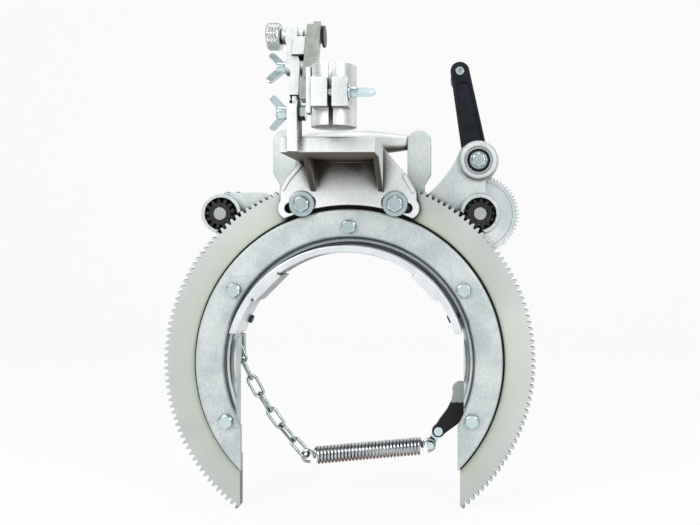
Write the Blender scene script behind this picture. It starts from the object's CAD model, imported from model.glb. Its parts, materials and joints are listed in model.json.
"""Looks for the saddle-type pipe beveling machine: materials, rounded edges, light and camera.

Lengths are in metres and colours are linear, unless a comment says otherwise.
"""

import json
import math

import bmesh
import bpy
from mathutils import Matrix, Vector
from mathutils.bvhtree import BVHTree
from mathutils.kdtree import KDTree


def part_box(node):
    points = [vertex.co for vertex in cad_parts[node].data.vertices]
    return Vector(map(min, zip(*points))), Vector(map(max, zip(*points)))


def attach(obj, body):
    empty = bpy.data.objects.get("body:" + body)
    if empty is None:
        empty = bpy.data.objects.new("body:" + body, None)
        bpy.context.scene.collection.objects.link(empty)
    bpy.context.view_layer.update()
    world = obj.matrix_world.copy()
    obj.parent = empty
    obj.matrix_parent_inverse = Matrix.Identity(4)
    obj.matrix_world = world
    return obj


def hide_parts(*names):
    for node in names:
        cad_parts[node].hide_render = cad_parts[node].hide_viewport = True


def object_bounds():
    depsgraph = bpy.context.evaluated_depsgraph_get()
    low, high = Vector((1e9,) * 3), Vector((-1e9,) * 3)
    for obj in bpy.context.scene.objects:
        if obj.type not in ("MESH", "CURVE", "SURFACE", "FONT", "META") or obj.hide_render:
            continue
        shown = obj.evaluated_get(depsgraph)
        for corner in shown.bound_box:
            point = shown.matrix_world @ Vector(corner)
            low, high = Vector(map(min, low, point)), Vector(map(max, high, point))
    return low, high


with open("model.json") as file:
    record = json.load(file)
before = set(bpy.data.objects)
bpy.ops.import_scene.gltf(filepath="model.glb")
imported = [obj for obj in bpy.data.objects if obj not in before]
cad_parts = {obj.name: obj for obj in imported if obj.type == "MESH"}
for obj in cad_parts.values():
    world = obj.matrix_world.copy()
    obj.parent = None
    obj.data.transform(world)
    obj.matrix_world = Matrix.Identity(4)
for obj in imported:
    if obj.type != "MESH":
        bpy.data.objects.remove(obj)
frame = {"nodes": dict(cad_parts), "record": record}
cad_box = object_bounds()
NODES = frame["nodes"]
BODY = {n: b for b, ns in frame["record"]["behaviour"]["bodies"].items() for n in ns}
SLOT_OF = {p["node"]: p["material_slot"] for p in frame["record"]["subparts"]}
WHITE = (1, 1, 1)


# Shader nodes

CREVICE_SAMPLES = 8
EDGE_SAMPLES = 6


def new_material(name):
    mat = bpy.data.materials.new(name)
    mat.use_nodes = True
    tree = mat.node_tree
    return mat, tree, tree.nodes["Principled BSDF"]


def add(tree, kind, values=None, links=None, **settings):
    """A shader node with its settings, its sockets' values and what is linked to them."""
    node = tree.nodes.new(kind)
    for key, setting in settings.items():
        setattr(node, key, setting)
    for socket, value in (values or {}).items():
        node.inputs[socket].default_value = value
    for socket, out in (links or {}).items():
        tree.links.new(out, node.inputs[socket])
    return node


def maths(tree, operation, *terms):
    """An operation on outputs and plain numbers."""
    node = add(tree, "ShaderNodeMath", operation=operation)
    for socket, term in zip(node.inputs, terms):
        if isinstance(term, (int, float)):
            socket.default_value = term
        else:
            tree.links.new(term, socket)
    return node.outputs[0]


def axes(tree, space):
    """The X, Y and Z of a place (Object) or a direction (Normal) on the piece."""
    out = add(tree, "ShaderNodeTexCoord").outputs[space]
    return add(tree, "ShaderNodeSeparateXYZ", links={"Vector": out}).outputs


def noise(tree, scale, detail=3.0, stretch=None):
    """A noise in object space; stretch squeezes it along the axes."""
    out = add(tree, "ShaderNodeTexCoord").outputs["Object"]
    if stretch:
        mapping = add(tree, "ShaderNodeMapping", {"Scale": stretch}, {"Vector": out})
        out = mapping.outputs["Vector"]
    values = {"Scale": scale, "Detail": detail}
    return add(tree, "ShaderNodeTexNoise", values, {"Vector": out}).outputs["Fac"]


def drift(tree, value, reach, scale, detail):
    """A value moved about by a noise, by up to the reach."""
    return maths(tree, "MULTIPLY_ADD", noise(tree, scale, detail), reach, value)


def share(tree, value, start, end, to=(0.0, 1.0)):
    """A value's way from start to end, laid over another range."""
    values = {"From Min": start, "From Max": end, "To Min": to[0], "To Max": to[1]}
    return add(tree, "ShaderNodeMapRange", values, {"Value": value}).outputs["Result"]


def ramp(tree, fac, low, high, at=(0.35, 0.65)):
    """A colour from low at the first place to high at the second."""
    node = add(tree, "ShaderNodeValToRGB", links={"Fac": fac})
    for stop, place, colour in zip(node.color_ramp.elements, at, (low, high)):
        stop.position = place
        stop.color = (*colour, 1)
    return node.outputs["Color"]


def times(tree, a, b):
    node = add(
        tree, "ShaderNodeMix", {"Factor": 1.0}, {"A": a, "B": b},
        data_type="RGBA", blend_type="MULTIPLY",
    )
    return node.outputs["Result"]


def cavity(tree, colour, dark, reach, at):
    """Darkens crevices, where casting skin and grease keep dirt."""
    openness = add(
        tree, "ShaderNodeAmbientOcclusion", {"Distance": reach}, samples=CREVICE_SAMPLES
    )
    return times(tree, colour, ramp(tree, openness.outputs["AO"], dark, WHITE, at))


def underside(tree, colour, dark, start, end):
    """Darkens what faces down on the part, where a casting keeps its oily skin."""
    facing = share(tree, axes(tree, "Normal")["Z"], start, end)
    return times(tree, colour, ramp(tree, facing, dark, WHITE, (0, 1)))


def roughness(tree, shader, fine, low, high):
    """Spreads a fine noise, which stays near its middle, over a range of roughness."""
    tree.links.new(share(tree, fine, 0.3, 0.7, (low, high)), shader.inputs["Roughness"])


def bump(tree, shader, height, depth, strength, edge):
    """Grain on the surface, with edges rounded in the shading where a radius is given."""
    values = {"Distance": depth, "Strength": strength}
    node = add(tree, "ShaderNodeBump", values, {"Height": height})
    if edge:
        bevel = add(tree, "ShaderNodeBevel", {"Radius": edge}, samples=EDGE_SAMPLES)
        tree.links.new(bevel.outputs["Normal"], node.inputs["Normal"])
    tree.links.new(node.outputs["Normal"], shader.inputs["Normal"])


# Materials


def patches(low, high, scale):
    """A colour that wanders between two tones."""
    return lambda tree: ramp(tree, noise(tree, scale), low, high)


def plating(tree):
    """The ring gear: yellower towards its inner edge, in soft patches, with duller, oily teeth."""
    place = axes(tree, "Object")
    flat = add(tree, "ShaderNodeCombineXYZ", links={"X": place["X"], "Z": place["Z"]})
    away = add(
        tree, "ShaderNodeVectorMath", links={0: flat.outputs["Vector"]}, operation="LENGTH"
    )
    radius = drift(tree, away.outputs["Value"], 0.022, 22, 3.0)
    yellow, grey = (0.58, 0.63, 0.53), (0.62, 0.66, 0.64)
    tone = ramp(tree, share(tree, radius, 0.167, 0.199), yellow, grey, (0, 1))
    tone = times(tree, tone, ramp(tree, noise(tree, 9, 2.0), (0.84, 0.85, 0.85), WHITE))
    flatness = maths(tree, "ABSOLUTE", axes(tree, "Normal")["Y"])
    return times(tree, tone, ramp(tree, flatness, (0.34, 0.34, 0.33), WHITE, (0.3, 0.7)))


def worn_paint(tree):
    """Black paint, gone at the upper end where the lever rubs in its lug."""
    height = drift(tree, axes(tree, "Object")["Z"], 0.006, 260, 4.0)
    black, bare = (0.012, 0.012, 0.015), (0.36, 0.40, 0.38)
    return ramp(tree, share(tree, height, -0.0475, -0.0455), black, bare, (0.1, 0.9))


def metal(name, tone, rough, grain, metallic=1.0, edge=0.0005, stretch=None, crevices=(),
          speck=0.0, turned=False, under=None):
    """A metal whose grain (scale, depth, strength) sets its roughness, specks and bump."""
    mat, tree, shader = new_material(name)
    shader.inputs["Metallic"].default_value = metallic
    scale, depth, strength = grain
    colour = tone(tree)
    fine = noise(tree, scale, 2.0, stretch)
    if speck:
        colour = times(tree, colour, ramp(tree, fine, (1 - speck,) * 3, WHITE))
    for dark, reach, at in crevices:
        colour = cavity(tree, colour, dark, reach, at)
    if under:
        colour = underside(tree, colour, *under)
    tree.links.new(colour, shader.inputs["Base Color"])
    roughness(tree, shader, fine, *rough)
    if turned:
        shader.inputs["Anisotropic"].default_value = 0.85
        tangent = add(tree, "ShaderNodeTangent", direction_type="RADIAL", axis="Y")
        tree.links.new(tangent.outputs["Tangent"], shader.inputs["Tangent"])
    bump(tree, shader, fine, depth, strength, edge)
    return mat


def plastic(name, low, high, rough, grain):
    """A dull black plastic or rubber with a fine grain."""
    mat, tree, shader = new_material(name)
    shader.inputs["Specular IOR Level"].default_value = 0.22
    tree.links.new(patches(low, high, 60)(tree), shader.inputs["Base Color"])
    fine = noise(tree, grain)
    roughness(tree, shader, fine, *rough)
    bump(tree, shader, fine, 0.0002, 0.15, 0.0008)
    return mat


# Crevices: their colour, how far they look round, and the open shares from dark to clean.
GREY_DIRT = ((0.22, 0.23, 0.24), 0.006, (0.2, 0.8))
GREASE = ((0.01, 0.01, 0.01), 0.007, (0.52, 0.90))
SHADE = ((0.08, 0.10, 0.11), 0.018, (0.14, 0.62))
BROWN = ((0.035, 0.024, 0.016), 0.05, (0.51, 0.71))
BROWN_GAP = ((0.05, 0.036, 0.026), 0.06, (0.24, 0.5))
METAL_DIRT = ((0.1, 0.11, 0.13), 0.004, (0.3, 0.85))
KNURL_DIRT = ((0.06, 0.07, 0.07), 0.0012, (0.55, 0.95))
COIL_DIRT = ((0.05, 0.04, 0.035), 0.004, (0.3, 0.85))
LINK_DIRT = ((0.04, 0.045, 0.045), 0.006, (0.3, 0.8))

CAST = metal(
    "cast_aluminium", patches((0.59, 0.66, 0.66), (0.73, 0.78, 0.78), 40), (0.42, 0.62),
    (700, 0.0005, 0.4), 0.5, 0.0008, crevices=(GREY_DIRT, SHADE), speck=0.2,
    under=((0.35, 0.33, 0.31), -0.75, -0.3),
)
RETAINER = metal(
    "cast_retainer", patches((0.53, 0.60, 0.60), (0.68, 0.73, 0.73), 40), (0.42, 0.62),
    (700, 0.0005, 0.4), 0.5, 0.0008, crevices=(GREY_DIRT,), speck=0.18,
)
BRACKET = metal(
    "cast_bracket", patches((0.82, 0.85, 0.85), (0.91, 0.93, 0.93), 40), (0.42, 0.62),
    (700, 0.0004, 0.3), 0.4, 0.0008, crevices=(GREY_DIRT, BROWN), speck=0.12,
    under=((0.11, 0.08, 0.06), -0.75, -0.3),
)
HOLDER = metal(
    "cast_holder", patches((0.72, 0.76, 0.75), (0.86, 0.89, 0.88), 40), (0.32, 0.5),
    (700, 0.0003, 0.25), 0.6, 0.0008, crevices=(GREY_DIRT, BROWN_GAP), speck=0.12,
    under=((0.25, 0.21, 0.17), -0.75, -0.3),
)
SHOE = metal(
    "machined_aluminium", patches((0.70, 0.75, 0.77), (0.82, 0.86, 0.88), 40), (0.3, 0.4),
    (200, 0.0001, 0.04), 0.6, 0.0008, stretch=(1, 0.15, 1), crevices=(GREY_DIRT,),
    under=((0.06, 0.045, 0.035), -0.85, -0.35),
)
ZINC = metal(
    "zinc_plate", patches((0.56, 0.70, 0.72), (0.68, 0.80, 0.82), 50), (0.17, 0.25),
    (160, 0.0001, 0.03), crevices=(METAL_DIRT,),
)
TURNED_ZINC = metal(
    "turned_zinc", patches((0.78, 0.85, 0.87), (0.86, 0.92, 0.93), 50), (0.20, 0.26),
    (160, 0.0001, 0.02), edge=0.0004, crevices=(METAL_DIRT,), turned=True,
)
RING = metal(
    "ring_steel", plating, (0.40, 0.52),
    (520, 0.0001, 0.1), 0.45, 0.0003, crevices=(GREASE,), speck=0.07,
)
BAR = metal(
    "bar_steel", patches((0.40, 0.44, 0.40), (0.54, 0.57, 0.53), 60), (0.26, 0.38),
    (300, 0.0001, 0.05), 0.9, 0.0, stretch=(1, 1, 0.2),
)
BLACK = metal(
    "black_oxide", patches((0.008, 0.008, 0.010), (0.020, 0.020, 0.023), 120), (0.3, 0.44),
    (600, 0.0002, 0.12), 0.3,
)
BRIGHT = metal(
    "turned_steel", patches((0.56, 0.60, 0.61), (0.68, 0.72, 0.73), 50), (0.15, 0.23),
    (160, 0.0001, 0.03), edge=0.0004, crevices=(METAL_DIRT,),
)
KNURL = metal(
    "knurled_steel", patches((0.56, 0.60, 0.60), (0.66, 0.70, 0.70), 50), (0.2, 0.3),
    (300, 0.0001, 0.05), edge=0.0, crevices=(KNURL_DIRT,),
)
SPRING = metal(
    "spring_steel", patches((0.46, 0.49, 0.51), (0.60, 0.63, 0.64), 120), (0.12, 0.2),
    (400, 0.0001, 0.04), edge=0.0, crevices=(COIL_DIRT,),
    under=((0.26, 0.12, 0.07), -0.6, -0.15),
)
CHAIN = metal(
    "chain_steel", patches((0.30, 0.36, 0.36), (0.46, 0.52, 0.51), 120), (0.16, 0.26),
    (400, 0.0001, 0.05), edge=0.0, crevices=(LINK_DIRT,),
)
BRONZE = metal(
    "bronze", patches((0.50, 0.44, 0.35), (0.64, 0.57, 0.46), 120), (0.3, 0.45),
    (600, 0.0002, 0.1),
)
LEVER = metal("worn_lever", worn_paint, (0.3, 0.46), (700, 0.0002, 0.15), 0.5)
PLASTIC = plastic(
    "black_plastic", (0.003, 0.005, 0.009), (0.008, 0.011, 0.018), (0.36, 0.5), 1400
)
RUBBER = plastic(
    "seal_rubber", (0.008, 0.008, 0.008), (0.014, 0.014, 0.014), (0.5, 0.65), 900
)

SLOTS = {
    "cast_aluminium": CAST,
    "zinc_plate": ZINC,
    "ring_steel": RING,
    "black_steel": BLACK,
    "black_plastic": PLASTIC,
    "bronze": BRONZE,
    "bright_steel": BRIGHT,
    "spring_steel": SPRING,
    "seal_rubber": RUBBER,
}
OWN = {
    "saddle_shoe": SHOE,
    "retainer_ring": RETAINER,
    "torch_bracket": BRACKET,
    "torch_arm": HOLDER,
    "torch_clamp": HOLDER,
    "handle_grip": HOLDER,
    "bull_gear": TURNED_ZINC,
    "slide_bar": BAR,
    "rack": BAR,
    "boomer_lever": LEVER,
    "chain_links": CHAIN,
    "hook_link": CHAIN,
}
for name, obj in NODES.items():
    obj.data.materials.clear()
    obj.data.materials.append(OWN.get(name, SLOTS[SLOT_OF[name]]))


# Rounded edges

ROUND_FROM = math.radians(32)  # edges steeper than this are rounded
SHARP_FROM = math.radians(38)  # edges steeper than this stay sharp in the shading
FOLD = math.radians(150)  # edges steeper than this are folds
FLAT = math.radians(0.3)  # faces that differ by less are joined
WELD = 2e-6  # points closer than this are joined
SLIVER = 1e-9  # faces smaller than this, in square metres, aren't judged
EDGE_STEP = 0.0015  # between the points that stand for an edge
NEARBY = 2.5  # in widths, where another edge takes room from the rounding
SLANT = 0.6  # of the gap, how far along the edge the other may lie
ROOM = 0.4  # of the gap, what one edge may take
SPOIL = 1.5  # in widths, how far from a fault an edge is left sharp
TRIES = 12


def placed(name, data):
    """An object with its data, in the scene."""
    obj = bpy.data.objects.new(name, data)
    bpy.context.scene.collection.objects.link(obj)
    return obj


def sharp_edges(bm, limit):
    """Shades a mesh smooth, apart from its edges steeper than the limit."""
    for face in bm.faces:
        face.smooth = True
    for edge in bm.edges:
        if len(edge.link_faces) == 2:
            edge.smooth = edge.calc_face_angle() < limit


def along(edge, step):
    """Points along an edge, no further apart than a step."""
    a, b = (v.co for v in edge.verts)
    n = max(1, math.ceil((b - a).length / step))
    return [a.lerp(b, (i + 0.5) / n) for i in range(n)]


def point_tree(points):
    tree = KDTree(len(points))
    for k, point in enumerate(points):
        tree.insert(point, k)
    tree.balance()
    return tree


def rounding_weights(bm, width):
    """Gives each steep edge its share of the rounding, less where another runs close beside it."""
    weight = bm.edges.layers.float.new("bevel_weight_edge")
    steep = [
        e for e in bm.edges
        if len(e.link_faces) == 2 and e.calc_face_angle() > ROUND_FROM
    ]
    spots = [(p, i) for i, e in enumerate(steep) for p in along(e, EDGE_STEP)]
    tree = point_tree([p for p, _ in spots])
    free = [1.0] * len(steep)
    for p, i in spots:
        edge = steep[i]
        run = (edge.verts[1].co - edge.verts[0].co).normalized()
        for q, k, gap in tree.find_range(p, NEARBY * width):
            other = steep[spots[k][1]]
            if other is edge or gap < 1e-7 or abs((q - p).dot(run)) > SLANT * gap:
                continue
            if not set(edge.verts) & set(other.verts):
                free[i] = min(free[i], ROOM * gap / width)
    for edge, part in zip(steep, free):
        edge[weight] = part
    return weight, steep


def faults(mesh):
    """Places where a mesh folds back on itself or cuts through itself."""
    bm = bmesh.new()
    bm.from_mesh(mesh)
    bmesh.ops.triangulate(bm, faces=bm.faces)
    bm.faces.ensure_lookup_table()
    bm.faces.index_update()
    large = [f.calc_area() > SLIVER for f in bm.faces]
    places = []
    for edge in bm.edges:
        pair = edge.link_faces
        if len(pair) == 2 and all(large[f.index] for f in pair):
            if edge.calc_face_angle() > FOLD:
                places += [v.co.copy() for v in edge.verts]
    tree = BVHTree.FromBMesh(bm)
    for i, j in tree.overlap(tree):
        if i < j and large[i] and large[j]:
            a, b = bm.faces[i], bm.faces[j]
            if not set(a.verts) & set(b.verts):
                smaller = min(a, b, key=lambda f: f.calc_area())
                places += [v.co.copy() for v in smaller.verts]
    bm.free()
    return places


def evaluated(piece):
    """Applies a piece's modifiers to its mesh."""
    graph = bpy.context.evaluated_depsgraph_get()
    mesh = bpy.data.meshes.new_from_object(piece.evaluated_get(graph))
    piece.modifiers.clear()
    piece.data = mesh
    return mesh


def bevelled(piece, width, segments):
    """Rounds a piece's edges by their weights."""
    edges = piece.modifiers.new("edge", "BEVEL")
    edges.width = width
    edges.segments = segments
    edges.limit_method = "WEIGHT"
    edges.miter_outer = "MITER_ARC"
    edges.use_clamp_overlap = False
    edges.loop_slide = False
    return evaluated(piece)


def rounded(node, width, segments):
    """A copy of a node with rounded edges, which stay sharp where the rounding would fold."""
    bm = bmesh.new()
    bm.from_mesh(NODES[node].data)
    bmesh.ops.remove_doubles(bm, verts=bm.verts, dist=WELD)
    bmesh.ops.dissolve_degenerate(bm, dist=WELD, edges=bm.edges)
    bmesh.ops.dissolve_limit(
        bm, angle_limit=FLAT, use_dissolve_boundaries=False, verts=bm.verts, edges=bm.edges
    )
    weight, steep = rounding_weights(bm, width)
    piece = placed(node + "_softened", NODES[node].data)
    for _ in range(TRIES):
        piece.data = NODES[node].data.copy()
        bm.to_mesh(piece.data)
        tree = point_tree(faults(bevelled(piece, width, segments)))
        spoilt = [
            e for e in steep
            if e[weight] > 0
            and any(tree.find_range(p, SPOIL * width) for p in along(e, 0.5 * width))
        ]
        if not spoilt:
            break
        for edge in spoilt:
            edge[weight] = 0.0
    bm.free()
    return piece


def soften(node, width, segments):
    """Stands a copy of a node with rounded edges, as the casting or moulding has, in its place."""
    piece = rounded(node, width, segments)
    bm = bmesh.new()
    bm.from_mesh(piece.data)
    bmesh.ops.triangulate(bm, faces=bm.faces)
    sharp_edges(bm, SHARP_FROM)
    bm.to_mesh(piece.data)
    bm.free()
    flat = piece.modifiers.new("flat", "WEIGHTED_NORMAL")
    flat.keep_sharp = True
    evaluated(piece)
    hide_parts(node)
    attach(piece, BODY[node])


# Turned and wound pieces

ASIDE = Vector((0.3, 0.5, 0.8))  # any direction that a path doesn't start along


def skin(name, rings, limit):
    """A closed piece over rings of points, flat at both ends and sharp above the limit."""
    bm = bmesh.new()
    rings = [[bm.verts.new(p) for p in ring] for ring in rings]
    sides = len(rings[0])
    for a, b in zip(rings, rings[1:]):
        for k in range(sides):
            j = (k + 1) % sides
            bm.faces.new((a[k], a[j], b[j], b[k]))
    bm.faces.new(rings[0][::-1])
    bm.faces.new(rings[-1])
    bmesh.ops.recalc_face_normals(bm, faces=bm.faces)
    sharp_edges(bm, limit)
    mesh = bpy.data.meshes.new(name)
    bm.to_mesh(mesh)
    bm.free()
    return placed(name, mesh)


def tube_rings(path, radius, sides):
    """Rings of points round a path, carried along it without twist."""
    rings = []
    side = None
    last = len(path) - 1
    for i, p in enumerate(path):
        t = (path[min(i + 1, last)] - path[max(i - 1, 0)]).normalized()
        if side is None:
            side = t.cross(ASIDE).normalized()
        side = (side - t * side.dot(t)).normalized()
        up = t.cross(side)
        turns = (2 * math.pi * k / sides for k in range(sides))
        rings.append([p + radius * (math.cos(a) * side + math.sin(a) * up) for a in turns])
    return rings


def spring():
    """The extension spring: a close coil with a hooked eye at each end, on its solid's path."""
    # Millimetres, up to the path.
    wire, radius, turns, pitch = 3.2, 8.2, 30, 3.75
    neck, eye = 3.4, 6.2
    eye_start, eye_sweep = -150, 230
    neck_steps, eye_steps, coil_steps, sides = 12, 36, turns * 24, 10
    first_turn = -90
    start, end = Vector((-51.3399, 45, -108.6285)), Vector((80.1284, 45, -96.8735))
    coil_length = turns * pitch
    end_length = ((end - start).length - coil_length) / 2
    axis = (end - start).normalized()
    across = Vector((0, 1, 0))
    down = across.cross(axis)

    def hook(first, sense):
        """From the coil's end in to the axis and round the eye, along the axis from the coil."""
        points = []
        for i in range(1, neck_steps + 1):
            u = i / neck_steps
            a = math.radians(first + sense * 180 * u)
            r = radius * (1 - u)
            points.append((neck * u, r * math.cos(a), r * math.sin(a)))
        bends = [
            math.radians(eye_start + eye_sweep * i / eye_steps) for i in range(eye_steps + 1)
        ]
        loop = [(end_length + eye * math.cos(b), eye * math.sin(b)) for b in bends]
        x, r = loop[-1]
        tip = bends[-1] + math.pi / 2
        loop.append((x + wire * math.cos(tip), r + wire * math.sin(tip)))
        a = math.radians(first + sense * 180)
        return points + [(x, r * math.cos(a), r * math.sin(a)) for x, r in loop]

    coil = []
    for i in range(coil_steps + 1):
        a = math.radians(first_turn - 360 * turns + 360 * turns * i / coil_steps)
        x = coil_length * i / coil_steps
        coil.append((x, radius * math.cos(a), radius * math.sin(a)))
    left = [(-x, y, z) for x, y, z in reversed(hook(first_turn - 360 * turns, -1))]
    right = [(coil_length + x, y, z) for x, y, z in hook(first_turn, 1)]
    path = [
        (start + axis * (end_length + x) + across * y + down * z) * 0.001
        for x, y, z in left + coil + right
    ]
    obj = skin("spring_wire", tube_rings(path, wire / 2000, sides), math.radians(50))
    obj.data.materials.append(SPRING)
    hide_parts("tension_spring")
    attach(obj, BODY["tension_spring"])


def knob():
    """The feed knob, turned with rounded edges and cut with a diamond knurl."""
    low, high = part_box("feed_knob")
    mid_y, mid_z = (low[1] + high[1]) / 2, (low[2] + high[2]) / 2
    length, radius = high[0] - low[0], (high[2] - low[2]) / 2
    edge, bore, bore_depth, pole = 0.0024, 0.00402, 0.006, 0.0003
    dish, dish_rim = 0.0004, 0.0012
    around, cells, rows = 252, 36, 24
    cut, lead, crest = 0.0006, 0.0029, 0.35

    def groove(u, turn):
        deep = 0.0
        for way in (1, -1):
            part = (cells * turn + way * u / lead) % 1.0
            deep = max(deep, (abs(2 * part - 1) - crest) / (1 - crest))
        return cut * deep

    # Distance from the shaft's end, and radius.
    corner = radius - edge
    arc = [math.radians(15 * i) for i in range(7)]
    profile = [(bore_depth, pole), (bore_depth, bore), (0.0, bore)]
    profile += [(edge - edge * math.cos(a), corner + edge * math.sin(a)) for a in arc[:-1]]
    first = len(profile)
    profile += [(edge + (length - 2 * edge) * i / rows, radius) for i in range(rows + 1)]
    last = len(profile)
    profile += [
        (length - edge + edge * math.sin(a), corner + edge * math.cos(a)) for a in arc[1:]
    ]
    profile += [(length - dish, corner - dish_rim), (length - dish, pole)]
    rings = []
    for i, (u, r) in enumerate(profile):
        ring = []
        for k in range(around):
            turn = k / around
            away = r - groove(u, turn) if first <= i < last else r
            a = 2 * math.pi * turn
            ring.append((high[0] - u, mid_y + away * math.cos(a), mid_z + away * math.sin(a)))
        rings.append(ring)
    obj = skin("knurled_knob", rings, math.radians(30))
    obj.data.materials.append(KNURL)
    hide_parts("feed_knob")
    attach(obj, BODY["feed_knob"])


spring()
knob()
for node, width, segments in (
    ("saddle_body", 0.0014, 3),
    ("retainer_ring", 0.0012, 2),
    ("torch_bracket", 0.0012, 3),
    ("torch_arm", 0.0008, 2),
    ("torch_clamp", 0.0009, 2),
    ("saddle_shoe", 0.0012, 2),
    ("crank_arm", 0.0010, 2),
    ("pivot_wing_nut", 0.0006, 2),
    ("lock_screw", 0.0006, 2),
    ("clamp_screw", 0.0006, 2),
    ("boomer_lever", 0.0008, 2),
):
    soften(node, width, segments)


# Stage, light and camera

GLOW_SHARE = 0.9  # how much of the backdrop's look is its own light
PHOTO_WIDTH = 700  # the camera's other numbers are in the photograph's pixels
FOCAL = 869
SHIFT = (-110, -22.5)
SENSOR = 36.0  # millimetres
AIM = (0, 0, 0.08)


def backdrop():
    """A pale floor under the object that turns up into a plain wall far behind it."""
    mat, tree, shader = new_material("backdrop")
    shader.inputs["Base Color"].default_value = (0.9, 0.9, 0.9, 1)
    shader.inputs["Roughness"].default_value = 0.9
    glow = add(tree, "ShaderNodeEmission")
    ray = add(tree, "ShaderNodeLightPath").outputs
    shiny = maths(tree, "MAXIMUM", ray["Is Glossy Ray"], ray["Is Transmission Ray"])
    seen = maths(tree, "MAXIMUM", ray["Is Camera Ray"], shiny)
    blend = add(tree, "ShaderNodeMixShader", links={
        "Fac": maths(tree, "MULTIPLY", seen, GLOW_SHARE),
        1: shader.outputs[0],
        2: glow.outputs[0],
    })
    tree.links.new(blend.outputs[0], tree.nodes["Material Output"].inputs["Surface"])

    gap, half_width, front, back, bend, bend_steps, top = 0.0005, 12, -12.0, 1.4, 0.7, 12, 6.0
    floor_z = cad_box[0][2] - gap
    profile = [(front, floor_z), (back, floor_z)]
    for i in range(1, bend_steps + 1):
        a = math.radians(90 * i / bend_steps)
        profile.append((back + bend * math.sin(a), floor_z + bend * (1 - math.cos(a))))
    profile.append((back + bend, top))
    verts = [(x, y, z) for y, z in profile for x in (-half_width, half_width)]
    faces = [(i, i + 1, i + 3, i + 2) for i in range(0, len(verts) - 2, 2)]
    mesh = bpy.data.meshes.new("backdrop")
    mesh.from_pydata(verts, [], faces)
    mesh.materials.append(mat)
    for poly in mesh.polygons:
        poly.use_smooth = True
    obj = placed("backdrop", mesh)


def softbox(name, place, size, watts):
    light = bpy.data.lights.new(name, "AREA")
    light.shape = "RECTANGLE"
    light.size, light.size_y = size
    light.energy = watts
    obj = placed(name, light)
    obj.location = place
    obj.rotation_euler = (Vector(AIM) - Vector(place)).to_track_quat("-Z", "Y").to_euler()


def world_axis(tree, component, stops):
    """A grey ramp over one component of the view direction."""
    node = add(tree, "ShaderNodeValToRGB", links={"Fac": share(tree, component, -1, 1)})
    ramp_stops = node.color_ramp.elements
    while len(ramp_stops) < len(stops):
        ramp_stops.new(0.5)
    for stop, (place, grey) in zip(ramp_stops, stops):
        stop.position = (place + 1) / 2
        stop.color = (grey, grey, grey, 1)
    return node.outputs["Color"]


def studio():
    """A dim room: bright overhead, grey in front, dark to the sides and below."""
    world = bpy.data.worlds.new("studio")
    world.use_nodes = True
    bpy.context.scene.world = world
    tree = world.node_tree
    way = axes(tree, "Generated")
    height = world_axis(tree, way["Z"], ((-1, 0.1), (-0.35, 0.3), (0.0, 0.85), (1, 0.9)))
    side = world_axis(tree, way["X"], ((-0.95, 0.15), (-0.55, 0.9), (0.5, 0.9), (0.95, 0.15)))
    front = world_axis(tree, way["Y"], ((-1, 0.9), (-0.8, 0.6), (-0.3, 0.7), (1, 0.7)))
    colour = times(tree, times(tree, height, side), front)
    background = tree.nodes["Background"].inputs
    tree.links.new(colour, background["Color"])
    background["Strength"].default_value = 0.9


def camera():
    """Level, square to the machine's front, with the photograph's off-centre frame."""
    cam = bpy.data.cameras.new("camera")
    cam.sensor_width = SENSOR
    cam.lens = FOCAL * SENSOR / PHOTO_WIDTH
    cam.shift_x, cam.shift_y = (pixels / PHOTO_WIDTH for pixels in SHIFT)
    cam.clip_start = 0.01
    obj = placed("camera", cam)
    obj.location = (0.114, -0.9, 0.126)
    obj.rotation_euler = (math.radians(90), 0, 0)
    bpy.context.scene.camera = obj


backdrop()
softbox("key", (-0.9, -1.3, 1.0), (0.8, 0.8), 16)
softbox("fill", (1.1, -1.3, 0.7), (0.5, 1.0), 11)
softbox("top", (0.1, -0.1, 1.4), (0.9, 0.9), 4)
studio()
camera()
bpy.context.scene.view_settings.view_transform = "Standard"
